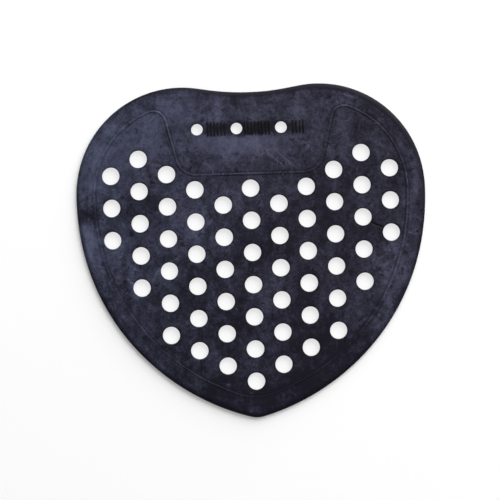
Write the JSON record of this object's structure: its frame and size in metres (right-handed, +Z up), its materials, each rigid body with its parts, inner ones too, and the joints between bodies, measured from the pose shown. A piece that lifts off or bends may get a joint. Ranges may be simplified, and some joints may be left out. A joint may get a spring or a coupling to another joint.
{
  "type": "urinal deodorizer screen",
  "caption": "Flat moulded rubber urinal screen, shield shaped, with staggered round drain holes, a thin raised bead and a plain panel with a row of short ribs.",
  "frame": {"origin": "middle of the part's box on its flat underside", "axes": "+Z up out of the moulded face, +X across the mat to the right, +Y from the tip towards the notch and the ribbed panel"},
  "size_m": [0.1842, 0.1754, 0.0035],
  "materials": {
    "rubber": "semi-matte blue-black moulded rubber with a pale bloom and handling marks"
  },
  "bodies": {
    "root": {"screen": "rubber"}
  },
  "joints": []
}
